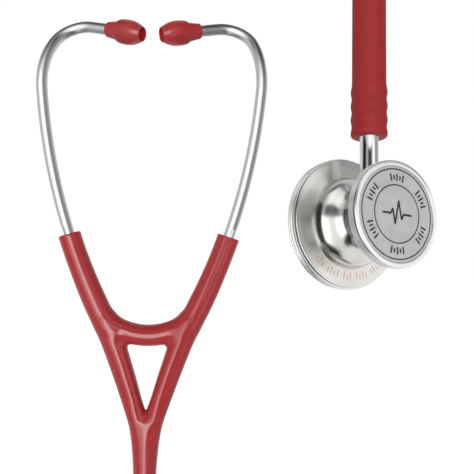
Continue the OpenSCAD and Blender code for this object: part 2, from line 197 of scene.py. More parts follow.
def outline(parts, per, inset_from=None):
    """Lathe outline (radius, z): a bare point is a corner, a nested list a smooth run.

    With inset_from, the first column is a distance inwards from that radius.
    """
    points = []
    for part in parts:
        for radius, z in (spline(part, per) if isinstance(part, list) else [part]):
            if inset_from is not None:
                radius = inset_from - radius
            if not points or math.dist(points[-1], (radius, z)) > 1e-5:
                points.append((radius, z))
    return points


# ------------------------------------------------------------------ mesh helpers
def link_object(name, mesh):
    obj = bpy.data.objects.new(name, mesh)
    scene.collection.objects.link(obj)
    return obj


def make(name, vertices, faces, material, matrix=None, angle=35, smooth=True):
    """Object from mm vertices; edges sharper than angle (degrees) stay crisp."""
    mesh = bpy.data.meshes.new(name)
    mesh.from_pydata((np.asarray(vertices, float) * MM).tolist(), [],
                     [list(map(int, face)) for face in faces])
    mesh.validate()
    mesh.update()
    if smooth:
        mesh.shade_smooth()
        mesh.set_sharp_from_angle(angle=rad(angle))
    obj = link_object(name, mesh)
    if matrix is not None:
        obj.matrix_world = matrix
    mesh.materials.append(material)
    return obj


def fix_normals(obj):
    bm = bmesh.new()
    bm.from_mesh(obj.data)
    bmesh.ops.recalc_face_normals(bm, faces=bm.faces)
    bm.to_mesh(obj.data)
    bm.free()
    return obj


def lathe(name, profile, material, matrix, segments, angle):
    """Turn (radius, z) points about Z; a profile that never meets the axis is a closed ring."""
    vertices, faces, rows = [], [], []
    for radius, z in profile:
        if radius <= 1e-6:
            rows.append([len(vertices)] * segments)
            vertices.append((0, 0, z))
            continue
        rows.append(list(range(len(vertices), len(vertices) + segments)))
        for i in range(segments):
            turn = 2 * math.pi * i / segments
            vertices.append((radius * math.cos(turn), radius * math.sin(turn), z))
    if min(radius for radius, _ in profile) > 1e-6:
        rows.append(rows[0])
    for low, high in zip(rows, rows[1:]):
        for i in range(segments):
            j = (i + 1) % segments
            face = list(dict.fromkeys((low[i], low[j], high[j], high[i])))
            if len(face) >= 3:
                faces.append(face)
    return fix_normals(make(name, vertices, faces, material, matrix, angle))


def sweep(name, points, headings, radii, material, segments, first=(1, 0, 0), inner=None):
    """Round rod along a path, its ends closed; with an inner radius, an open pipe."""
    across = np.array(first, float)
    sides = []
    for heading in headings:
        across = unit(across - (across @ heading) * heading)
        sides.append(across)
    count = len(points)
    vertices, faces = [], []

    def add_rings(ring_radii):
        for point, heading, side, radius in zip(points, headings, sides, ring_radii):
            other = np.cross(heading, side)
            for i in range(segments):
                turn = 2 * math.pi * i / segments
                vertices.append(point + radius * (math.cos(turn) * side
                                                  + math.sin(turn) * other))

    def around(row):
        """Vertex pairs round one ring."""
        base = row * segments
        return [(base + i, base + (i + 1) % segments) for i in range(segments)]

    add_rings(np.broadcast_to(np.asarray(radii, float), (count,)))
    for row in range(count - 1):
        faces += [(a, b, d, c) for (a, b), (c, d) in zip(around(row), around(row + 1))]
    if inner is not None:
        add_rings([inner] * count)
        for row in range(count, 2 * count - 1):
            faces += [(a, c, d, b) for (a, b), (c, d) in zip(around(row), around(row + 1))]
        for row in (0, count - 1):
            faces += [(a, b, d, c) for (a, b), (c, d) in zip(around(row), around(row + count))]
    else:
        for row in (0, count - 1):
            faces += [(a, b, len(vertices)) for a, b in around(row)]
            vertices.append(points[row])
    return fix_normals(make(name, vertices, faces, material))


def mirrored(obj, name):
    """Copy reflected in the YZ plane."""
    mesh = obj.data.copy()
    for vertex in mesh.vertices:
        vertex.co.x = -vertex.co.x
    mesh.flip_normals()
    return link_object(name, mesh)


def paint_band(obj, material, low, high, radius):
    """Second material on the faces between two heights and nearer the axis than radius."""
    obj.data.materials.append(material)
    for face in obj.data.polygons:
        centre = face.center * 1000
        if low < centre.z < high and math.hypot(centre.x, centre.y) < radius:
            face.material_index = 1


def mount(obj, body, replaced=None):
    """Let obj move with a body and, where named, stand in for a CAD piece."""
    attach(obj, body)
    if replaced:
        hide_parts(replaced)
    return obj


def blend(obj, replaced):
    """Bake obj's placement into its mesh and hide the CAD piece it stands in for."""
    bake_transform(obj)
    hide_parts(replaced)


# ------------------------------------------------------------------ shader node helpers
class Graph:
    """Thin wrapper round a node tree."""

    def __init__(self, tree):
        self.tree = tree

    def add(self, kind):
        return self.tree.nodes.new(kind)

    def feed(self, socket, value):
        """Set a socket to a number, or link an output to it."""
        if isinstance(value, (int, float)):
            socket.default_value = value
        else:
            self.tree.links.new(value, socket)

    def math(self, operation, *operands):
        node = self.add("ShaderNodeMath")
        node.operation = operation
        for socket, value in zip(node.inputs, operands):
            self.feed(socket, value)
        return node.outputs[0]

    def split(self, vector):
        node = self.add("ShaderNodeSeparateXYZ")
        self.feed(node.inputs[0], vector)
        return node.outputs

    def ramp(self, factor, stops):
        """Colour ramp from (position, (r, g, b)) stops."""
        node = self.add("ShaderNodeValToRGB")
        elements = node.color_ramp.elements
        elements.remove(elements[-1])
        elements[0].position = stops[0][0]
        elements[0].color = (*stops[0][1], 1)
        for position, color in stops[1:]:
            elements.new(position).color = (*color, 1)
        self.feed(node.inputs[0], factor)
        return node.outputs[0]

    def half_ramp(self, factor, stops, span):
        """Ramp of (degrees, brightness) over -span..span, at half brightness to stay below 1."""
        return self.ramp(factor, [((angle + span) / (2 * span), (value / 2,) * 3)
                                  for angle, value in stops])

    def smoothstep(self, value, low, high):
        node = self.add("ShaderNodeMapRange")
        node.interpolation_type = "SMOOTHSTEP"
        self.feed(node.inputs[0], value)
        node.inputs[1].default_value = low
        node.inputs[2].default_value = high
        return node.outputs[0]

    def window(self, value, span, rise, fall):
        """1 between a soft rise and a soft fall, given in degrees; value 1 means span."""
        up = self.smoothstep(value, rise[0] / span, rise[1] / span)
        down = self.smoothstep(value, fall[0] / span, fall[1] / span)
        return self.math("MULTIPLY", up, self.math("SUBTRACT", 1.0, down))

    def emission(self, strength):
        node = self.add("ShaderNodeEmission")
        self.feed(node.inputs["Strength"], strength)
        return node.outputs[0]

    def mix_shader(self, factor, at_zero, at_one):
        node = self.add("ShaderNodeMixShader")
        for socket, value in zip(node.inputs, (factor, at_zero, at_one)):
            self.feed(socket, value)
        return node.outputs[0]


class Surface(Graph):
    """A Principled material; settings are keyed by the shader's input names."""

    def __init__(self, name, settings):
        self.material = bpy.data.materials.new(name)
        self.material.use_nodes = True
        super().__init__(self.material.node_tree)
        self.inputs = next(n for n in self.tree.nodes if n.type == "BSDF_PRINCIPLED").inputs
        for key, value in settings.items():
            self.inputs[key].default_value = value

    def coords(self):
        return self.add("ShaderNodeTexCoord").outputs["Object"]

    def noise(self, scale, detail=2.0, roughness=0.5, vector=None):
        node = self.add("ShaderNodeTexNoise")
        node.inputs["Scale"].default_value = scale
        node.inputs["Detail"].default_value = detail
        node.inputs["Roughness"].default_value = roughness
        self.feed(node.inputs["Vector"], self.coords() if vector is None else vector)
        return node.outputs["Fac"]

    def bump(self, height, strength, distance):
        node = self.add("ShaderNodeBump")
        node.inputs["Strength"].default_value = strength
        node.inputs["Distance"].default_value = distance
        self.feed(node.inputs["Height"], height)
        self.feed(self.inputs["Normal"], node.outputs[0])

    def vary_roughness(self, factor, limits):
        low, high = limits
        spread = self.math("MULTIPLY", factor, high - low)
        self.feed(self.inputs["Roughness"], self.math("ADD", spread, low))

    def tint(self, factor, colors, positions=(0.3, 0.7)):
        self.feed(self.inputs["Base Color"], self.ramp(factor, list(zip(positions, colors))))


# ------------------------------------------------------------------ materials
# colors are the two ends of a mottled tint, roughness the two ends of its variation
def plastic(name, colors, roughness, specular):
    s = Surface(name, {"Specular IOR Level": specular, "Subsurface Weight": 0.05,
                       "Subsurface Radius": (0.004, 0.001, 0.001), "Subsurface Scale": 0.4})
    s.tint(s.noise(scale=180, detail=3), colors)
    s.vary_roughness(s.noise(scale=90), roughness)
    s.bump(s.noise(scale=900), strength=0.008, distance=0.00005)
    return s.material


def metal(name, colors, roughness, anisotropy=0.0, bump=0.0, scale=900):
    s = Surface(name, {"Metallic": 1.0, "Anisotropic": anisotropy})
    s.tint(s.noise(scale=60), colors)
    s.vary_roughness(s.noise(scale=scale, detail=3), roughness)
    if bump:
        s.bump(s.noise(scale=scale * 2, detail=3), strength=bump, distance=0.00003)
    return s.material


def turned(name, colors, roughness, anisotropy, line, density=900.0):
    """Steel finished on a lathe: faint rings round local Z, density per metre."""
    s = Surface(name, {"Metallic": 1.0, "Anisotropic": anisotropy})
    x, y, z = s.split(s.coords())
    squares = s.math("ADD", s.math("MULTIPLY", x, x), s.math("MULTIPLY", y, y))
    radius = s.math("SQRT", squares)
    rings = s.add("ShaderNodeCombineXYZ")
    s.feed(rings.inputs[0], s.math("MULTIPLY", radius, density))
    s.feed(rings.inputs[1], s.math("MULTIPLY", z, density))
    fine = s.noise(scale=1.0, detail=4, roughness=0.7, vector=rings.outputs[0])
    s.tint(s.noise(scale=70), colors)
    s.vary_roughness(fine, roughness)
    s.bump(fine, strength=line, distance=0.00003)
    tangent = s.add("ShaderNodeTangent")
    tangent.direction_type = "RADIAL"
    tangent.axis = "Z"
    s.feed(s.inputs["Tangent"], tangent.outputs[0])
    s.inputs["Anisotropic Rotation"].default_value = 0.25
    return s.material


def matt(name, colors, roughness):
    s = Surface(name, {"Specular IOR Level": 0.4})
    s.tint(s.noise(scale=300, detail=3), colors)
    s.vary_roughness(s.noise(scale=700), roughness)
    s.bump(s.noise(scale=1800, detail=3), strength=0.12, distance=0.00005)
    return s.material


def weave(name, light, dark, pitch):
    """Cloth of crossed sine waves in local XY, pitch in metres."""
    s = Surface(name, {"Specular IOR Level": 0.4})
    x, y, _ = s.split(s.coords())
    waves = [s.math("SINE", s.math("MULTIPLY", c, 2 * math.pi / pitch)) for c in (x, y)]
    height = s.math("ADD", s.math("MULTIPLY", s.math("MULTIPLY", *waves), 0.5), 0.5)
    mottle = s.noise(scale=250)
    factor = s.math("ADD", s.math("MULTIPLY", height, 0.8), s.math("MULTIPLY", mottle, 0.2))
    s.tint(factor, (dark, light), positions=(0.15, 0.75))
    s.vary_roughness(mottle, (0.38, 0.5))
    s.bump(height, strength=0.25, distance=0.00006)
    return s.material


def grey(value):
    return (value,) * 3


GLOSS_PVC = plastic("red_pvc_gloss", colors=((0.30, 0.020, 0.023), (0.33, 0.025, 0.028)),
                    roughness=(0.145, 0.17), specular=0.5)
SATIN_PVC = plastic("red_pvc_satin", colors=((0.265, 0.015, 0.0155), (0.285, 0.018, 0.0185)),
                    roughness=(0.5, 0.6), specular=0.2)
SILICONE = plastic("red_silicone", colors=((0.29, 0.020, 0.022), (0.33, 0.025, 0.027)),
                   roughness=(0.18, 0.26), specular=0.5)
# Deeper, matt red for the inside of the eartip's mouth: painted shade of the hollow, the same
# silicone as outside
SILICONE_MOUTH_SHADE = plastic("red_silicone_mouth_painted_shade",
                         colors=((0.34, 0.006, 0.009), (0.38, 0.008, 0.011)),
                         roughness=(0.55, 0.7), specular=0.2)
CHROME = metal("mirror_chrome", colors=((0.90, 0.90, 0.905), grey(0.93)),
               roughness=(0.045, 0.055), scale=90)
TUBE_CHROME = metal("chrome_bent_tube", colors=((0.84, 0.84, 0.845), (0.88, 0.88, 0.88)),
                    roughness=(0.12, 0.135), scale=70)
POLISHED = metal("polished_rim", colors=((0.80, 0.80, 0.79), (0.84, 0.84, 0.83)),
                 roughness=(0.24, 0.28), scale=200)
STEEL_COLORS = ((0.74, 0.73, 0.70), (0.78, 0.77, 0.74))
SATIN_STEEL = turned("satin_steel", colors=STEEL_COLORS, roughness=(0.22, 0.30),
                     anisotropy=0.75, line=0.10)
DOME_STEEL = turned("satin_steel_dome", colors=STEEL_COLORS, roughness=(0.17, 0.21),
                    anisotropy=0.1, line=0.06)
SPRING_STEEL = metal("spring_steel", colors=((0.42, 0.43, 0.45), (0.5, 0.5, 0.52)),
                     roughness=(0.25, 0.38), anisotropy=0.3, bump=0.1)
BRASS = metal("barb_brass", colors=((0.66, 0.46, 0.18), (0.72, 0.52, 0.22)),
              roughness=(0.2, 0.32), anisotropy=0.2, bump=0.08)
RUBBER = matt("gasket_rubber", colors=((0.012, 0.012, 0.013), (0.02, 0.02, 0.021)),
              roughness=(0.5, 0.65))
NYLON = matt("insert_nylon", colors=((0.6, 0.6, 0.57), (0.66, 0.66, 0.63)),
             roughness=(0.4, 0.5))
ENAMEL = matt("white_enamel", colors=(grey(0.82), grey(0.88)), roughness=(0.2, 0.3))
BLACKENED = metal("blackened_screw", colors=((0.03, 0.03, 0.032), (0.05, 0.05, 0.05)),
                  roughness=(0.35, 0.5), bump=0.1)
INK = matt("black_print", colors=((0.010, 0.010, 0.011), (0.016, 0.016, 0.017)),
           roughness=(0.35, 0.45))
ETCH = metal("etched_marks", colors=((0.60, 0.42, 0.30), (0.66, 0.47, 0.34)),
             roughness=(0.35, 0.5))
SMALL_WEAVE = weave("woven_diaphragm", light=(0.66, 0.66, 0.655), dark=grey(0.10),
                    pitch=0.00072)
LARGE_WEAVE = weave("woven_diaphragm_large", light=(0.62, 0.62, 0.61), dark=grey(0.40),
                    pitch=0.00052)

# ------------------------------------------------------------------ headset skin
# The arm runs down and inwards from the ear tube; the joint with the yoke is near its foot
ARM = Arc(EAR_ROOT, -EAR_UP, EAR_IN, 338.65, rad(7.275))
JOINT_HEADING = ARM.heading_at(ARM.angle)
JOINT = ARM.point(ARM.angle) + 5 * JOINT_HEADING
ARM_TOP = ARM.point(rad(0.804))     # the skin is cut square here
BORE_RADIUS, BORE_DEPTH = 3.06, 14  # hole for the ear tube, its depth below EAR_ROOT
FOOT_Z = -74.0                      # the yoke is cut level here

# Crossbar between the legs: an arc in the XZ plane, centred above the crotch
BRIDGE_CENTRE_Z, BRIDGE_BEND, BRIDGE_RADIUS = 42.1, 36.6, 5.85
BRIDGE_HALF_ANGLE = rad(35)

# Right leg's centreline from the foot up: x, z
LEG_LOW = [
    (0.0, -80), (0.0, -78), (0.1, -72), (0.33, -66), (0.9, -58), (1.85, -50), (3.45, -42),
    (4.9, -38), (6.4, -34), (7.7, -30), (8.95, -26), (11.5, -18), (14.25, -10), (17.0, -2),
]
LEG_LOW_LEAN = rad(18.8)            # lean from the vertical at the last point above

# Leg radius: z, radius
LEG_RADII = [
    (-80, 6.05), (-58, 6.05), (-46, 5.8), (-40, 5.5), (-34, 5.35), (-28, 5.45), (-18, 5.85),
    (-10, 6.0), (-2, 6.3), (6, 6.35), (14, 6.55), (22, 6.6), (34, 6.3), (46, 6.05), (70, 6.05),
]
# Width of the fillet between the two legs: z, width
LEG_FILLETS = [
    (-80, 0.06), (-66, 0.15), (-58, 0.8), (-50, 2.6), (-46, 3.9), (-42, 5.0), (-39, 4.6),
    (-36.5, 1.4), (-34, 0.5), (0, 0.5),
]


def leg_centreline():
    """Right leg and arm in the XZ plane, from the foot to above the arm."""
    top_angle = rad(7.0)
    arm = [ARM.point(turn)[[0, 2]] for turn in np.linspace(top_angle, rad(0.254), 40)]
    start, end = np.array(LEG_LOW[-1]), arm[0]
    reach = np.linalg.norm(end - start)
    start_slope = reach * unit([math.sin(LEG_LOW_LEAN), math.cos(LEG_LOW_LEAN)])
    end_slope = -reach * ARM.heading_at(top_angle)[[0, 2]]
    middle = [hermite(start, start_slope, end, end_slope, u)
              for u in np.linspace(0, 1, 40)[1:-1]]
    above = [EAR_ROOT[[0, 2]], (EAR_ROOT + 6 * EAR_UP)[[0, 2]]]
    return np.array(spline(LEG_LOW, 8, even=True) + middle + arm + above)


LEG_STEP = 0.5
LEG_Z = np.arange(-80, 69.01, LEG_STEP)


def blurred_on_leg(heights, values, sigma):
    """Values resampled at LEG_Z and smoothed, the ends carried on in a straight line."""
    v = np.interp(LEG_Z, heights, values)
    reach = int(4 * sigma / LEG_STEP)
    kernel = np.exp(-0.5 * (np.arange(-reach, reach + 1) * LEG_STEP / sigma) ** 2)
    kernel /= kernel.sum()
    i = np.arange(1, reach + 1)
    before = (v[0] - (v[1] - v[0]) * i)[::-1]
    after = v[-1] + (v[-1] - v[-2]) * i
    return np.convolve(np.concatenate([before, v, after]), kernel, "valid")


LEG_X = blurred_on_leg(*leg_centreline().T[::-1], sigma=4.0)
LEG = np.stack([LEG_X, LEG_Z], 1)
LEG_RADIUS = blurred_on_leg(*zip(*LEG_RADII), sigma=4.0)
LEG_FILLET = np.maximum(blurred_on_leg(*zip(*LEG_FILLETS), sigma=1.5), 0.05)


def leg_distance(x, z):
    """Distance in the XZ plane to the right leg's centreline, and the radius there.

    The legs are thickest a little inside their middle.
    """
    nearest = np.full(x.shape, 1e9)
    height = np.zeros(x.shape)
    side = np.zeros(x.shape)
    for start, end in zip(LEG[:-1], LEG[1:]):
        d = end - start
        t = np.clip(((x - start[0]) * d[0] + (z - start[1]) * d[1]) / (d @ d), 0, 1)
        dx, dz = x - start[0] - t * d[0], z - start[1] - t * d[1]
        squared = dx * dx + dz * dz
        closer = squared < nearest
        nearest = np.where(closer, squared, nearest)
        height = np.where(closer, start[1] + t * d[1], height)
        turn = np.sign(d[0] * (z - start[1]) - d[1] * (x - start[0]))
        side = np.where(closer, turn, side)
    offset = side * np.sqrt(nearest)
    radius = np.interp(height, LEG_Z, LEG_RADIUS)
    shift = np.interp(height, [-37, -29, -10, 12], [0, 0.9, 0.9, 0])
    return np.abs(offset - shift * np.clip(1 - (offset / radius) ** 2, 0, 1)), radius


def soft_min(a, b, width):
    h = np.maximum(width - np.abs(a - b), 0) / width
    return np.minimum(a, b) - h * h * width * 0.25


def soft_max(a, b, width):
    return -soft_min(-a, -b, width)


def plane_parts(x, z):
    """What doesn't depend on y: right leg's distance and radius, the left's, the bridge's."""
    up = z - BRIDGE_CENTRE_Z
    turn = np.clip(np.arctan2(x, -up), -BRIDGE_HALF_ANGLE, BRIDGE_HALF_ANGLE)
    near_x, near_z = BRIDGE_BEND * np.sin(turn), -BRIDGE_BEND * np.cos(turn)
    bridge = np.sqrt((x - near_x) ** 2 + (up - near_z) ** 2)
    return (*leg_distance(x, z), *leg_distance(-x, z), bridge)


MIRROR_PART = (2, 3, 0, 1, 4)       # which plane part each becomes when x changes sign


def skin_distance(parts, x, y, z):
    """Signed distance to the headset's surface, negative inside."""
    right, right_radius, left, left_radius, bridge = parts
    legs = soft_min(np.sqrt(right * right + y * y) - right_radius,
                    np.sqrt(left * left + y * y) - left_radius,
                    np.interp(z, LEG_Z, LEG_FILLET))
    solid = soft_min(legs, np.sqrt(bridge * bridge + y * y) - BRIDGE_RADIUS, 3.8)
    ax = np.abs(x)
    above = (ax - ARM_TOP[0]) * EAR_UP[0] + (z - ARM_TOP[2]) * EAR_UP[2]
    solid = soft_max(solid, above, 0.7)
    ear_x, ear_z = ax - EAR_ROOT[0], z - EAR_ROOT[2]
    along = ear_x * EAR_UP[0] + ear_z * EAR_UP[2]
    off = np.sqrt((ear_x * EAR_UP[2] - ear_z * EAR_UP[0]) ** 2 + y * y)
    bore = np.maximum(off - BORE_RADIUS, -(along + BORE_DEPTH))
    solid = soft_max(solid, -bore, 0.35)
    return soft_max(solid, FOOT_Z - z, 0.3)


def distance_at(points):
    x, y, z = points.T
    return skin_distance(plane_parts(x, z), x, y, z)


def gradient_at(points, reach):
    gradient = np.zeros(points.shape)
    for axis in range(3):
        shift = np.zeros(3)
        shift[axis] = reach
        rise = distance_at(points + shift) - distance_at(points - shift)
        gradient[:, axis] = rise / (2 * reach)
    return gradient


def distance_grid(xs, ys, zs):
    """Distance on the whole grid; the left half's plane parts mirror the right's."""
    right = xs >= -1e-9
    left_count = len(xs) - int(right.sum())
    grid_x, grid_z = np.meshgrid(xs[right], zs, indexing="ij")
    half = plane_parts(grid_x, grid_z)
    parts = [np.concatenate([half[mirror][::-1][:left_count], half[k]])[:, None, :]
             for k, mirror in enumerate(MIRROR_PART)]
    return skin_distance(parts, xs[:, None, None], ys[None, :, None], zs[None, None, :])


def surface_net(step):
    """Naive surface net of the distance field, then moved onto its zero level."""
    xs = np.arange(-52, 52 + step / 2, step)
    ys = np.arange(-8 + step / 4, 8, step)
    zs = np.arange(-76, 67, step)
    field = distance_grid(xs, ys, zs)
    inside = field < 0
    corners = [(i, j, k) for i in (0, 1) for j in (0, 1) for k in (0, 1)]
    nx, ny, nz = np.array(field.shape) - 1
    inner_corners = sum(inside[i:nx + i, j:ny + j, k:nz + k].astype(int)
                        for i, j, k in corners)
    active = (inner_corners > 0) & (inner_corners < 8)
    cells = np.argwhere(active)
    ids = -np.ones(active.shape, int)
    ids[active] = np.arange(len(cells))

    # One vertex in each active cell, at the mean of its edges' crossings
    total = np.zeros((len(cells), 3))
    count = np.zeros(len(cells))
    for corner in corners:
        for axis in range(3):
            if corner[axis]:
                continue
            far = list(corner)
            far[axis] = 1
            a = field[tuple((cells + np.array(corner)).T)]
            b = field[tuple((cells + np.array(far)).T)]
            crossed = (a < 0) != (b < 0)
            place = cells + np.array(corner, float)
            place[:, axis] += np.where(crossed, a / np.where(a == b, 1, a - b), 0)
            total[crossed] += place[crossed]
            count[crossed] += 1
    mean = total / count[:, None]
    vertices = np.stack([s[0] + mean[:, i] * step for i, s in enumerate((xs, ys, zs))], 1)

    # One quad round each crossed grid edge
    quads = []
    for axis in range(3):
        b, c = (axis + 1) % 3, (axis + 2) % 3
        near, far = [slice(None)] * 3, [slice(None)] * 3
        near[axis], far[axis] = slice(0, -1), slice(1, None)
        edges = np.argwhere(inside[tuple(near)] != inside[tuple(far)])
        for other in (b, c):
            at = edges[:, other]
            edges = edges[(at > 0) & (at < field.shape[other] - 1)]
        quad = []
        for shift_b, shift_c in ((-1, -1), (0, -1), (0, 0), (-1, 0)):
            cell = edges.copy()
            cell[:, b] += shift_b
            cell[:, c] += shift_c
            quad.append(ids[tuple(cell.T)])
        quad = np.stack(quad, 1)
        outward = ~inside[tuple(edges.T)]
        quad[outward] = quad[outward][:, ::-1]
        quads.append(quad)

    for _ in range(2):
        g = gradient_at(vertices, 0.02)
        move = distance_at(vertices) / np.maximum((g * g).sum(1), 0.2)
        vertices = vertices - g * np.clip(move, -0.3, 0.3)[:, None]
    return vertices, np.concatenate(quads)


def cut_at_joints(bm):
    """Split the faces of both sides along the planes between yoke and arms."""
    for side in (1, -1):
        geometry = set()
        for face in bm.faces:
            if face.calc_center_median().x * side > 0.010:
                geometry.add(face)
                geometry.update(face.edges)
                geometry.update(face.verts)
        bmesh.ops.bisect_plane(
            bm, geom=list(geometry), dist=1e-6,
            plane_co=Vector((JOINT[0] * side, 0, JOINT[2])) * MM,
            plane_no=Vector((JOINT_HEADING[0] * side, 0, JOINT_HEADING[2])))


def skin_part(centre):
    """Name of the part that a face with this centre (mm) belongs to."""
    side = 1 if centre.x > 0 else -1
    below = ((centre.x - JOINT[0] * side) * JOINT_HEADING[0] * side
             + (centre.z - JOINT[2]) * JOINT_HEADING[2])
    if below > 0 or abs(centre.x) < 10:
        return "yoke_skin"
    return "arm_right_skin" if side > 0 else "arm_left_skin"


def make_headset():
    """Yoke and two arms, shaded with the distance field's own normals."""
    vertices, quads = surface_net(0.5)
    mesh = bpy.data.meshes.new("skin")
    mesh.from_pydata((vertices * MM).tolist(), [], quads.tolist())
    mesh.update()
    bm = bmesh.new()
    bm.from_mesh(mesh)
    cut_at_joints(bm)
    groups = {"yoke_skin": [], "arm_right_skin": [], "arm_left_skin": []}
    for face in bm.faces:
        groups[skin_part(face.calc_center_median() * 1000)].append(face)
    parts = {}
    for name, faces in groups.items():
        index, points, part_faces = {}, [], []
        for face in faces:
            for vertex in face.verts:
                if vertex not in index:
                    index[vertex] = len(points)
                    points.append(tuple(vertex.co * 1000))
            part_faces.append([index[vertex] for vertex in face.verts])
        points = np.array(points)
        obj = make(name, points, part_faces, GLOSS_PVC, angle=60)
        normals = gradient_at(points, 0.1)
        normals /= np.maximum(np.linalg.norm(normals, axis=1), 1e-9)[:, None]
        obj.data.normals_split_custom_set_from_vertices(normals.tolist())
        parts[name] = obj
    bm.free()
    return parts


skin = make_headset()
mount(skin["yoke_skin"], "yoke", "yoke")
for side, sign in (("right", 1), ("left", -1)):
    blend(skin[f"arm_{side}_skin"],
          f"arm_{side}")

# ------------------------------------------------------------------ ear tubes
EAR_SOCKET = 16.5       # length of tube inside the arm
TIP_OFFSET = 10.7       # from the last bend to the eartip's base
EAR_END = 16.7          # straight length after the last bend
long_bend = Arc(EAR_ROOT, EAR_UP, EAR_IN, 335.5, rad(12.86))
middle_bend = rolled_arc(long_bend, roll=-47.7, radius=41.2, angle=42.42)
last_bend = rolled_arc(middle_bend, roll=64.8, radius=15, angle=90.25)
tip_heading = last_bend.heading_at(last_bend.angle)
tip_side = last_bend.bend_at(last_bend.angle)
bend_end = last_bend.point(last_bend.angle)
ear_path = [Straight(EAR_ROOT - EAR_SOCKET * EAR_UP, EAR_UP, EAR_SOCKET),
            long_bend, middle_bend, last_bend, Straight(bend_end, tip_heading, EAR_END)]
tube_right = sweep("ear_tube_right_pipe", *trace(ear_path, step=1.2), radii=3.0,
                   material=TUBE_CHROME, segments=64, first=(0, 1, 0), inner=2.2)
tube_left = mirrored(tube_right, "ear_tube_left_pipe")
mount(tube_right, "ear_tube_right", "ear_tube_right")
mount(tube_left, "ear_tube_left", "ear_tube_left")

# ------------------------------------------------------------------ eartips
# radius, z from the base: the outside first, then the mouth and the hollow inside
EARTIP = [
    (3.3, 0.2),
    [(3.45, 0.02), (3.75, 0.1), (4.02, 0.45), (4.18, 1.0), (4.3, 1.9), (4.45, 3.2),
     (4.7, 4.6), (4.98, 6.0), (5.22, 7.1), (5.3, 7.45)],
    [(5.3, 7.45), (5.5, 7.5), (5.78, 7.62), (6.0, 7.95), (6.22, 8.6), (6.44, 9.8),
     (6.59, 11.4), (6.65, 13.2), (6.57, 14.9), (6.33, 16.5), (5.94, 18.0), (5.42, 19.4),
     (4.82, 20.7), (4.35, 21.6), (4.05, 22.2), (3.85, 22.48), (3.65, 22.58), (3.47, 22.5),
     (3.38, 22.2)],
    [(3.38, 22.2), (3.28, 21.4), (3.15, 20.2)],
    (1.5, 19.2), (1.5, 9.2), (4.15, 9.1), (4.15, 0.8), (3.3, 0.8), (3.3, 0.2),
]
tip_axes = np.stack([tip_side, np.cross(tip_heading, tip_side), tip_heading], 1)
tip_frame = placement(tip_axes, bend_end + TIP_OFFSET * tip_heading)
tip_right = lathe("eartip_right_soft", outline(EARTIP, 5), SILICONE, tip_frame,
                  segments=112, angle=40)
# The inside of the mouth gets the deeper red: painted shade of the hollow
paint_band(tip_right, SILICONE_MOUTH_SHADE, low=18.5, high=math.inf, radius=3.41)
# Bake the placement into the mesh so that the mirror works in the shared frame
tip_right.data.transform(tip_right.matrix_world)
tip_right.matrix_world = Matrix.Identity(4)
tip_left = mirrored(tip_right, "eartip_left_soft")
mount(tip_right, "eartip_right", "eartip_right")
mount(tip_left, "eartip_left", "eartip_left")

# ------------------------------------------------------------------ tubing
TUBING_RADIUS = 6.05
LINK = 7.0              # half-length of the straight at each joint
DOWN = np.array([0, 0, -1.0])
YOKE_FOOT = np.array([0, 0, FOOT_Z])
# The tube dips, runs out to the right, rises and turns over above the chestpiece
DIP, DIP_HEADING = np.array([50.0, -40, -105]), unit([0.75, -0.56, 0.32])
OUTER, OUTER_HEADING = np.array([136.0, -106, -50]), unit([0.6, -0.4, 0.7])
RISE, RISE_HEADING = np.array([150.0, -119, 8]), unit([0.02, -0.02, 1])
DROP_TOP = 84           # height up the stem where the top bend ends
TOP_BEND = 24.0         # radius of the top bend
bend_start = HEAD_CENTRE + DROP_TOP * STEM_UP + 2 * TOP_BEND * STEM_SIDE
top_joint = bend_start - LINK * STEM_UP
top_out = Arc(bend_start, STEM_UP, -STEM_SIDE, TOP_BEND, math.pi / 2)
top_in = Arc(top_out.point(math.pi / 2), -STEM_SIDE, -STEM_UP, TOP_BEND, math.pi / 2)

dip_start, dip_end = DIP - LINK * DIP_HEADING, DIP + LINK * DIP_HEADING
low_points, low_headings = trace(
    biarc(YOKE_FOOT, DOWN, dip_start, DIP_HEADING)
    + [Straight(dip_start, DIP_HEADING, 2 * LINK)]
    + biarc(dip_end, DIP_HEADING, OUTER, OUTER_HEADING), step=2.0)
low_points[0] += 0.001 * DOWN       # a hair below the yoke's cut face
tubing_low = sweep("tubing_low", low_points, low_headings, TUBING_RADIUS, SATIN_PVC, 64)
blend(tubing_low,
      "tube_upper")

joint_start = top_joint - LINK * STEM_UP
high_path = (biarc(OUTER, OUTER_HEADING, RISE, RISE_HEADING)
             + biarc(RISE, RISE_HEADING, joint_start, STEM_UP)
             + [Straight(joint_start, STEM_UP, 2 * LINK), top_out])
tubing_high = sweep("tubing_high", *trace(high_path, step=2.0), radii=TUBING_RADIUS,
                    material=SATIN_PVC, segments=72)
blend(tubing_high,
      "tube_run")


def grip_stations():
    """Distance up the stem and radius, from the bend down over the ribbed end."""
    rib_top, rib_pitch, rib_crest = 49.4, 5.1, 30.6
    stations = [(t, TUBING_RADIUS) for t in np.arange(DROP_TOP - 1.0, 49.6, -1.5)]
    for t in np.arange(rib_top, 29.75, -0.3):
        fade = min(1.0, (rib_top - t) / 1.6)
        wave = 0.26 + 0.16 * math.cos(2 * math.pi * (t - rib_crest) / rib_pitch)
        stations.append((t, TUBING_RADIUS + fade * wave))
    rounded_end = [(30.0, 6.4), (29.8, 6.33), (29.6, 6.2), (29.47, 6.0), (29.4, 5.7)]
    return [s for s in stations if s[0] > 30.2] + rounded_end


bend_points, bend_headings = trace([top_in], step=1.6)
grip = grip_stations()
tubing_drop = sweep(
    "tubing_drop",
    np.concatenate([bend_points, [HEAD_CENTRE + t * STEM_UP for t, _ in grip]]),
    np.concatenate([bend_headings, np.tile(-STEM_UP, (len(grip), 1))]),
    [TUBING_RADIUS] * len(bend_points) + [radius for _, radius in grip], SATIN_PVC, 72)
# The metal parts don't mirror the tubing
for obj in (tubing_low, tubing_high, tubing_drop):
    obj.visible_glossy = False
mount(tubing_drop, "tube_drop", "tube_drop")

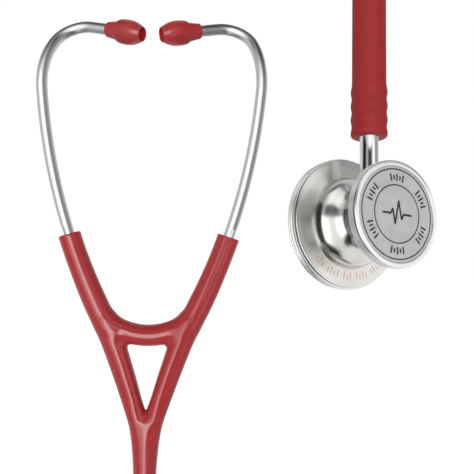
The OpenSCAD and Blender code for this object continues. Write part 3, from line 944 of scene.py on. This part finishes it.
# ------------------------------------------------------------------ stem
# radius, z: grooved plug inside the chestpiece, then the wider tube
STEM = [
    (0, -5.6), (2.45, -5.6), (2.75, -5.3), (2.75, -4.3), (2.4, -4.3), (2.4, -3.4),
    (2.75, -3.4), (2.75, 3.9), (2.4, 4.35), (2.4, 5.05), (2.75, 5.5), (2.75, 7.7),
    (2.2, 7.7), (2.2, 8.7), (2.75, 8.7),
    [(2.75, 10.8), (3.0, 10.82), (3.14, 10.9), (3.22, 11.05), (3.25, 11.3)],
    (3.25, 48.4), (3.0, 48.9), (0, 48.9),
]
stem = mount(lathe("stem_tube", outline(STEM, 3), CHROME, STEM_FRAME, 96, 30),
             "tube_drop", "stem")

# ------------------------------------------------------------------ chestpiece
# radius, z: from the large side's middle, round the flange and waist, to the small side's
BODY = [
    (0, -11.2),
    [(1.6, -11.2), (6, -11.9), (LARGE_R - 3.6, -13.1)],
    (LARGE_R - 3.6, -13.4), (LARGE_R - 1.3, -13.4), (LARGE_R - 1.3, -11.2),
    [(LARGE_R - 0.72, -11.2), (LARGE_R - 0.6, -11.1), (LARGE_R - 0.62, -10.92),
     (LARGE_R - 0.9, -10.8), (LARGE_R - 1.5, -10.74), (21.2, -10.6), (18.5, -10.42),
     (17.2, -10.34), (16.68, -10.31)],
    [(16.68, -10.31), (16.5, -9.6), (16.24, -8.75), (15.85, -7.8), (15.35, -6.9),
     (14.6, -6.1), (13.6, -5.4), (12.4, -4.7), (11.3, -4.0), (10.35, -3.15), (9.6, -2.2),
     (9.1, -1.1), (8.85, 0.1), (8.95, 1.4), (9.4, 2.8), (10.2, 4.3), (11.4, 5.9),
     (12.9, 7.4), (14.5, 8.7), (15.9, 9.6), (16.9, 10.08), (17.35, 10.3), (17.5, 10.42),
     (17.5, 10.5)],
    (SMALL_R - 0.95, 10.5), (SMALL_R - 0.95, 12.25), (SMALL_R - 3, 12.25),
    [(SMALL_R - 3, 12.05), (5, 11.1), (1.6, 10.4)],
    (0, 10.4),
]
# radius, distance from the chestpiece's axis
STEM_SOCKET = [
    (2.85, 3.0),
    [(2.85, 10.6), (3.6, 10.62), (4.05, 10.55), (4.3, 10.3), (4.4, 9.9)],
    (4.4, 3.0), (2.85, 3.0),
]
DETENT_BOSS = [
    (1.5, 5.0),
    [(1.5, 8.4), (2.0, 8.4), (2.2, 8.3), (2.3, 8.1)],
    (2.3, 5.0), (1.5, 5.0),
]
# distance in from the outer radius, z
SMALL_RIM = [
    [(0.92, 10.72), (0.35, 10.72), (0.1, 10.8), (0.01, 11.0), (0, 11.4), (0, 12.4),
     (0, 13.2), (0.04, 13.6), (0.18, 13.93), (0.45, 14.13), (0.8, 14.2), (1.4, 14.2),
     (1.7, 14.1), (1.86, 13.95), (1.9, 13.78)],
    (0.92, 13.75), (0.92, 10.72),
]
LARGE_RIM = [
    [(1.25, -11.65), (0.35, -11.65), (0.1, -11.72), (0, -11.9)],
    (0, -12.5), (0.25, -12.68), (0.25, -12.95), (0, -13.13), (0, -13.9), (0.25, -14.08),
    (0.25, -14.35),
    [(0.08, -14.5), (0.08, -15.05), (0.16, -15.28), (0.45, -15.4)],
    [(0.45, -15.4), (2.15, -15.4), (2.33, -15.33), (2.4, -15.15), (2.4, -15.02)],
    (1.25, -15.0), (1.25, -11.65),
]
SMALL_FACE_Z = 13.82    # outer faces of the diaphragms
LARGE_FACE_Z = -15.1


def head_ring(name, inner, outer, z0, z1, material, body):
    profile = [(inner, z0), (outer, z0), (outer, z1), (inner, z1)]
    mount(lathe(name, profile, material, HEAD_FRAME, 160, 30), body)


body = lathe("chestpiece_turned", outline(BODY, 6), SATIN_STEEL, HEAD_FRAME, 192, 32)
paint_band(body, DOME_STEEL, low=-10.3, high=-1.7, radius=16.85)
mount(body, "head", "chestpiece_body")
socket_frame = placement(HEAD_AXES @ rotation("x", -90), HEAD_CENTRE)
socket = mount(lathe("stem_socket", outline(STEM_SOCKET, 4), POLISHED, socket_frame, 96, 32),
               "head")
boss_frame = placement(HEAD_AXES @ rotation("y", 90),
                       HEAD_CENTRE + HEAD_AXES @ np.array([0, 4.7, 0]))
boss = mount(lathe("detent_boss", outline(DETENT_BOSS, 4), POLISHED, boss_frame, 64, 32),
             "head")
rim_small = mount(lathe("rim_small_polished", outline(SMALL_RIM, 5, inset_from=SMALL_R),
                        POLISHED, HEAD_FRAME, 192, 40), "head", "rim_small")
# Thin dark rubber rings in the gaps between the rims and the body: painted shade standing in for
# the shadow in those gaps
head_ring("painted_shade_ring_large", LARGE_R - 1.29, LARGE_R - 0.75, -11.64, -11.21, RUBBER, "head")
head_ring("painted_shade_ring_small", SMALL_R - 0.94, SMALL_R - 0.55, 10.51, 10.71, RUBBER, "head")
rim_large = mount(lathe("rim_large_polished", outline(LARGE_RIM, 4, inset_from=LARGE_R),
                        POLISHED, HEAD_FRAME, 224, 32), "head", "rim_large")

# radius, z
SMALL_DISC = [(0, 13.3), (SMALL_R - 1.55, 13.3), (SMALL_R - 1.55, 13.7),
              (SMALL_R - 2.05, 13.7), (SMALL_R - 2.15, SMALL_FACE_Z), (0, SMALL_FACE_Z)]
LARGE_DISC = [(0, LARGE_FACE_Z), (LARGE_R - 2.75, LARGE_FACE_Z), (LARGE_R - 2.6, -14.95),
              (LARGE_R - 2, -14.95), (LARGE_R - 2, -14.55), (0, -14.55)]
disc_small = mount(lathe("diaphragm_small_disc", SMALL_DISC, SMALL_WEAVE, HEAD_FRAME, 160, 30),
                   "diaphragm_small", "diaphragm_small")
disc_large = mount(lathe("diaphragm_large_disc", LARGE_DISC, LARGE_WEAVE, HEAD_FRAME, 160, 30),
                   "diaphragm_large", "diaphragm_large")

# ------------------------------------------------------------------ prints and marks
PRINT_THICKNESS = 0.03


def stroke(start, end, half_width, overrun=0.0):
    """Rectangle round a line in the disc's plane."""
    start, end = np.array(start, float), np.array(end, float)
    along = unit(end - start)
    across = half_width * np.array([-along[1], along[0]])
    start, end = start - overrun * along, end + overrun * along
    return [start + across, start - across, end - across, end + across]


def spoke(angle, inner, outer, half_width):
    direction = np.array([math.cos(angle), math.sin(angle)])
    return stroke(inner * direction, outer * direction, half_width)


def plates(name, outlines, level, material, body, sign=1):
    """Thin plates on the chestpiece; level gives the height at a radius."""
    vertices, faces = [], []
    for shape in outlines:
        base, count = len(vertices), len(shape)
        for lift in (0, sign * PRINT_THICKNESS):
            vertices += [(x, y, level(math.hypot(x, y)) + lift) for x, y in shape]
        faces.append([base + i for i in range(count)][::-1])
        faces.append([base + count + i for i in range(count)])
        for i in range(count):
            j = (i + 1) % count
            faces.append([base + i, base + j, base + count + j, base + count + i])
    mount(fix_normals(make(name, vertices, faces, material, HEAD_FRAME, smooth=False)), body)


# Zigzag across the middle of the print: x, y
PULSE = [(-6.2, 0), (-2.9, 0), (-1.9, 1.5), (-0.9, -3.3), (0.7, 4.3), (1.9, -1.6), (2.8, 0),
         (6.2, 0)]
PULSE_HALF_WIDTH = 0.36


def print_diaphragm(size, z, sign, scale):
    """Two circles, six groups of five ticks, and the zigzag."""
    body = f"diaphragm_{size}"
    for ring, inner, outer in (("outer", 14.84, 15.28), ("inner", 9.5, 9.92)):
        head_ring(f"print_{size}_{ring}", inner * scale, outer * scale,
                  z, z + sign * PRINT_THICKNESS, INK, body)
    ticks = []
    for group in range(6):
        for i in range(-2, 3):
            half = (2.5 if i % 2 == 0 else 1.5) / 2
            ticks.append(spoke(rad(90 + 60 * group) + i * rad(6.1),
                               inner=12.25 - half, outer=12.25 + half, half_width=0.32))
    pulse = [stroke(a, b, PULSE_HALF_WIDTH, overrun=0.6 * PULSE_HALF_WIDTH)
             for a, b in zip(PULSE, PULSE[1:])]
    for kind, shapes in (("ticks", ticks), ("pulse", pulse)):
        scaled = [[corner * scale for corner in shape] for shape in shapes]
        plates(f"print_{size}_{kind}", scaled, lambda radius: z, INK, body, sign)


print_diaphragm("small", SMALL_FACE_Z, sign=1, scale=1.0)
print_diaphragm("large", LARGE_FACE_Z, sign=-1, scale=1.3)


def flange_level(radius):
    """Just above the flange of the large side."""
    level = np.interp(radius, [16.4, 18.5, 21.2, 22.3], [-10.2, -10.42, -10.6, -10.74])
    return float(level) + 0.005


# Faint marks along the flange, long and short in turn, with four left out
flange_marks = [spoke(rad(-136 + i * 4.3), inner=17.9 if i % 2 else 18.7, outer=20.6,
                      half_width=0.2)
                for i in range(22) if i not in (3, 8, 12, 17)]
plates("flange_marks", flange_marks, flange_level, ETCH, "head")

# CAD pieces shown as they are
FINISHES = {
    "leaf_spring": SPRING_STEEL, "root_barb_right": BRASS, "root_barb_left": BRASS,
    "tip_insert_right": NYLON, "tip_insert_left": NYLON, "stem_seal": RUBBER,
    "snap_ring": SPRING_STEEL, "index_dot": ENAMEL, "gasket_large": RUBBER,
    "gasket_small": RUBBER, "detent_ball": CHROME, "detent_spring": SPRING_STEEL,
    "detent_screw": BLACKENED,
}
for piece, material in FINISHES.items():
    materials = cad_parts[piece].data.materials
    materials.clear()
    materials.append(material)


# ------------------------------------------------------------------ floor
def stage_object(name, vertices, faces, material, hidden_from):
    """Part of the set, given in mm and hidden from some kinds of ray."""
    mesh = bpy.data.meshes.new(name)
    mesh.from_pydata([tuple(c * MM for c in vertex) for vertex in vertices], [], faces)
    mesh.materials.append(material)
    obj = link_object(name, mesh)
    for ray in hidden_from:
        setattr(obj, "visible_" + ray, False)


def floor_material():
    """Pale grey that glows a little, for the camera only."""
    s = Surface("studio_floor", {"Roughness": 0.9, "Specular IOR Level": 0.1,
                                 "Base Color": (0.80, 0.80, 0.80, 1),
                                 "Emission Color": (1, 1, 1, 1)})
    seen = s.add("ShaderNodeLightPath").outputs["Is Camera Ray"]
    s.feed(s.inputs["Emission Strength"], s.math("MULTIPLY", seen, 0.62))
    return s.material


FLOOR_Z, FLOOR_HALF = -117.2, 3000
stage_object("floor", [(x * FLOOR_HALF, y * FLOOR_HALF, FLOOR_Z)
                       for x, y in ((-1, -1), (1, -1), (1, 1), (-1, 1))],
             [(0, 1, 2, 3)], floor_material(),
             hidden_from=("glossy", "diffuse", "transmission", "shadow"))

# ------------------------------------------------------------------ world
# Brightness of the surroundings in reflections: azimuth in degrees (0 towards the camera,
# + to the right), brightness
WORLD_SIDES = [
    (-180, 0.85), (-150, 0.95), (-120, 0.85), (-97, 0.62), (-79, 0.45), (-52, 0.36),
    (-35, 0.32), (0, 0.30), (30, 0.26), (44, 0.24), (64, 0.27), (90, 0.42), (121, 0.6),
    (150, 0.85), (180, 0.85),
]


def azimuth_curve(graph, azimuth, stops):
    """Smooth curve of brightness through (degrees, value) stops."""
    node = graph.add("ShaderNodeFloatCurve")
    node.mapping.use_clip = False
    top = max(value for _, value in stops)
    places = [((angle + 180) / 360, value / top) for angle, value in stops]
    points = node.mapping.curves[0].points
    points[0].location = places[0]
    points[1].location = places[-1]
    for place in places[1:-1]:
        points.new(*place)
    node.mapping.update()
    graph.feed(node.inputs[1], graph.math("MULTIPLY_ADD", azimuth, 0.5, 0.5))
    return graph.math("MULTIPLY", node.outputs[0], top)


def make_world():
    """Separate surroundings for reflections, for diffuse light and for the camera (white)."""
    world = bpy.data.worlds.new("studio")
    scene.world = world
    world.use_nodes = True
    world.node_tree.nodes.clear()
    g = Graph(world.node_tree)
    x, y, z = g.split(g.add("ShaderNodeTexCoord").outputs["Generated"])
    azimuth = g.math("DIVIDE", g.math("ARCTAN2", x, g.math("MULTIPLY", y, -1.0)), math.pi)
    elevation = g.math("DIVIDE", g.math("ARCSINE", z), math.pi / 2)

    # Reflections: the sides, a bright strip with a brighter core, a dimmer zenith
    sides = azimuth_curve(g, azimuth, WORLD_SIDES)
    wide = g.window(azimuth, 180, rise=(-48, -22), fall=(8, 15))
    core = g.window(azimuth, 180, rise=(-17, -4), fall=(5, 15))
    strip = g.math("MULTIPLY",
                   g.math("ADD", g.math("MULTIPLY", wide, 2.3), g.math("MULTIPLY", core, 5.0)),
                   g.window(elevation, 90, rise=(-27, -19), fall=(12, 20)))
    zenith = g.window(elevation, 90, rise=(45, 66.6), fall=(169.2, 190.8))
    dimming = g.math("SUBTRACT", 1.0, g.math("MULTIPLY", zenith, 0.45))
    glossy = g.math("MULTIPLY", g.math("ADD", sides, strip), dimming)

    # Diffuse light: a broad fill from the camera's side over an even base
    fill = g.math("MULTIPLY", g.window(azimuth, 180, rise=(-70, -20), fall=(10, 60)),
                  g.window(elevation, 90, rise=(-80, -40), fall=(30, 70)))
    diffuse = g.math("ADD", g.math("MULTIPLY", fill, 0.98), 0.42)

    rays = g.add("ShaderNodeLightPath").outputs
    backgrounds = []
    for strength in (glossy, diffuse, 1.0):
        node = g.add("ShaderNodeBackground")
        node.inputs[0].default_value = (1, 1, 1, 1)
        g.feed(node.inputs[1], strength)
        backgrounds.append(node.outputs[0])
    lighting = g.mix_shader(rays["Is Diffuse Ray"], backgrounds[0], backgrounds[1])
    seen = g.mix_shader(rays["Is Camera Ray"], lighting, backgrounds[2])
    g.feed(g.add("ShaderNodeOutputWorld").inputs[0], seen)


scene.view_settings.view_transform = "Standard"
scene.view_settings.look = "None"
make_world()

# ------------------------------------------------------------------ reflection cards
REFLECTION_ONLY = ("camera", "diffuse", "transmission", "shadow", "volume_scatter")
CARD_RADIUS = 88
CARD_BOTTOM, CARD_TOP = -125.0, 330.0
CARD_SEGMENTS = 72

# Brightness of the chestpiece's cards in four bands, from low to high:
# azimuth in degrees, brightness
CARD_LOW = [
    (-180, 0.6), (-150, 0.6), (-110, 0.35), (-68, 0.2), (-53, 0.04), (-38, 0.0), (12, 0.0),
    (22, 0.3), (37, 0.9), (60, 0.9), (90, 0.8), (112, 0.9), (130, 0.9), (160, 0.6), (180, 0.6),
]
CARD_MID = [
    (-180, 1.3), (-150, 1.3), (-125, 1.0), (-108, 0.6), (-98, 0.7), (-91, 0.2), (-85, 0.01),
    (-58, 0.01), (-51, 0.3), (-43, 1.5), (-12, 1.4), (0, 1.0), (14, 0.8), (28, 0.95),
    (44, 1.15), (58, 1.15), (70, 0.9), (84, 1.1), (105, 1.0), (140, 1.0), (180, 1.3),
]
CARD_GAP = [
    (-180, 0.6), (-148, 0.57), (-122, 0.75), (-104, 0.4), (-92, 0.1), (-86, 0.02),
    (-58, 0.02), (-50, 0.3), (-44, 0.42), (-30, 0.4), (-22, 0.17), (-14, 0.06), (8, 0.06),
    (17, 0.1), (29, 0.5), (40, 0.95), (62, 1.15), (69, 0.5), (82, 0.33), (112, 0.35),
    (140, 0.65), (180, 0.65),
]
CARD_HIGH = [
    (-180, 0.66), (-150, 0.5), (-113, 0.42), (-83, 0.32), (-60, 0.36), (-40, 0.6),
    (-20, 0.9), (0, 1.2), (12, 1.2), (30, 1.0), (48, 0.9), (58, 0.4), (66, 0.12),
    (84, 0.15), (98, 0.5), (130, 0.65), (180, 0.66),
]
# Where each band gives way to the next: height over the chestpiece in card radii
CARD_STEPS = [(CARD_MID, -0.95, -0.6), (CARD_GAP, 0.28, 0.42), (CARD_HIGH, 0.84, 0.95)]


def bare_material(name):
    """Material with an empty node graph."""
    material = bpy.data.materials.new(name)
    material.use_nodes = True
    material.node_tree.nodes.clear()
    return material, Graph(material.node_tree)


def one_way(g, geometry, strength, front_glows):
    """Glow on one side of the faces, see-through on the other."""
    glow = g.emission(strength)
    clear = g.add("ShaderNodeBsdfTransparent").outputs[0]
    front, back = (glow, clear) if front_glows else (clear, glow)
    mixed = g.mix_shader(geometry.outputs["Backfacing"], front, back)
    g.feed(g.add("ShaderNodeOutputMaterial").inputs[0], mixed)


def card_material():
    material, g = bare_material("card_light")
    geometry = g.add("ShaderNodeNewGeometry")
    x, y, z = g.split(geometry.outputs["Position"])
    centre_x, centre_y, centre_z = (float(c) * MM for c in HEAD_CENTRE)
    right = g.math("SUBTRACT", x, centre_x)
    front = g.math("MULTIPLY", g.math("SUBTRACT", y, centre_y), -1.0)
    azimuth = g.math("DIVIDE", g.math("ARCTAN2", right, front), 2 * math.pi)
    height = g.math("DIVIDE", g.math("SUBTRACT", z, centre_z), CARD_RADIUS * MM)

    def band(stops):
        return g.half_ramp(g.math("ADD", azimuth, 0.5), stops, span=180)

    brightness = band(CARD_LOW)
    for stops, low, high in CARD_STEPS:
        share = g.smoothstep(height, low, high)
        below = g.math("MULTIPLY", brightness, g.math("SUBTRACT", 1.0, share))
        brightness = g.math("ADD", below, g.math("MULTIPLY", band(stops), share))
    one_way(g, geometry, g.math("MULTIPLY", brightness, 2.0), front_glows=True)
    return material


# Cylinder round the chestpiece, its faces inwards, seen only in reflections
card_vertices, card_faces = [], []
for i in range(CARD_SEGMENTS):
    turn = 2 * math.pi * i / CARD_SEGMENTS
    for z in (CARD_BOTTOM, CARD_TOP):
        card_vertices.append((HEAD_CENTRE[0] + CARD_RADIUS * math.sin(turn),
                              HEAD_CENTRE[1] - CARD_RADIUS * math.cos(turn), z))
    here, after = 2 * i, 2 * ((i + 1) % CARD_SEGMENTS)
    card_faces.append((here, here + 1, after + 1, after))
stage_object("cards", card_vertices, card_faces, card_material(), REFLECTION_ONLY)

# ------------------------------------------------------------------ ear tubes' reflection boxes
# Brightness by azimuth and by elevation, multiplied together: degrees, brightness
TUBE_AZIMUTH = [
    (-180, 0.6), (-120, 0.55), (-80, 0.5), (-62, 0.55), (-45, 0.95), (-30, 1.2), (-16, 1.25),
    (8, 1.25), (16, 1.0), (26, 0.47), (40, 0.3), (75, 0.27), (97, 0.36), (125, 0.58),
    (180, 0.6),
]
TUBE_ELEVATION = [
    (-90, 0.5), (-52, 0.42), (-31, 0.6), (-14, 1.0), (14, 1.0), (28, 0.85), (45, 0.45),
    (60, 0.2), (90, 0.25),
]


def tube_light_material():
    """Glow by the direction of the ray, seen from inside the box only."""
    material, g = bare_material("tube_light")
    geometry = g.add("ShaderNodeNewGeometry")
    x, y, z = g.split(geometry.outputs["Incoming"])
    around = g.math("ARCTAN2", g.math("MULTIPLY", x, -1.0), y)
    azimuth = g.math("ADD", g.math("DIVIDE", around, 2 * math.pi), 0.5)
    up = g.math("ARCSINE", g.math("MULTIPLY", z, -1.0))
    elevation = g.math("ADD", g.math("DIVIDE", up, math.pi), 0.5)
    by_azimuth = g.math("MULTIPLY", g.half_ramp(azimuth, TUBE_AZIMUTH, span=180), 2.0)
    by_elevation = g.math("MULTIPLY", g.half_ramp(elevation, TUBE_ELEVATION, span=90), 2.0)
    one_way(g, geometry, g.math("MULTIPLY", by_azimuth, by_elevation), front_glows=False)
    return material


# Faces of a box, outwards, for vertices counted with z fastest and x slowest
BOX_FACES = [(0, 1, 3, 2), (6, 7, 5, 4), (4, 5, 1, 0), (2, 3, 7, 6), (0, 2, 6, 4), (5, 7, 3, 1)]
tube_light = tube_light_material()
for side, box_x in (("right", (28.5, 150.0)), ("left", (-150.0, -28.5))):
    box = [(x, y, z) for x in box_x for y in (-40.0, 60.0) for z in (63.5, 230.0)]
    stage_object(f"tube_light_{side}", box, BOX_FACES, tube_light, REFLECTION_ONLY)

# ------------------------------------------------------------------ camera
CAMERA_ROLL = rad(1.03)
CAMERA_PLACE = (0.0476, -0.36, 0.0595)      # metres
camera_data = bpy.data.cameras.new("camera")
camera = link_object("camera", camera_data)
camera_data.lens = 50.58
camera_data.sensor_width = 36
camera_data.sensor_fit = "HORIZONTAL"
camera_data.clip_start = 0.01
cos_roll, sin_roll = math.cos(CAMERA_ROLL), math.sin(CAMERA_ROLL)
# Columns: the camera's right, up and back, and its place; it looks along +Y
camera.matrix_world = Matrix((
    (cos_roll, -sin_roll, 0, CAMERA_PLACE[0]),
    (0, 0, -1, CAMERA_PLACE[1]),
    (sin_roll, cos_roll, 0, CAMERA_PLACE[2]),
    (0, 0, 0, 1),
))
scene.camera = camera
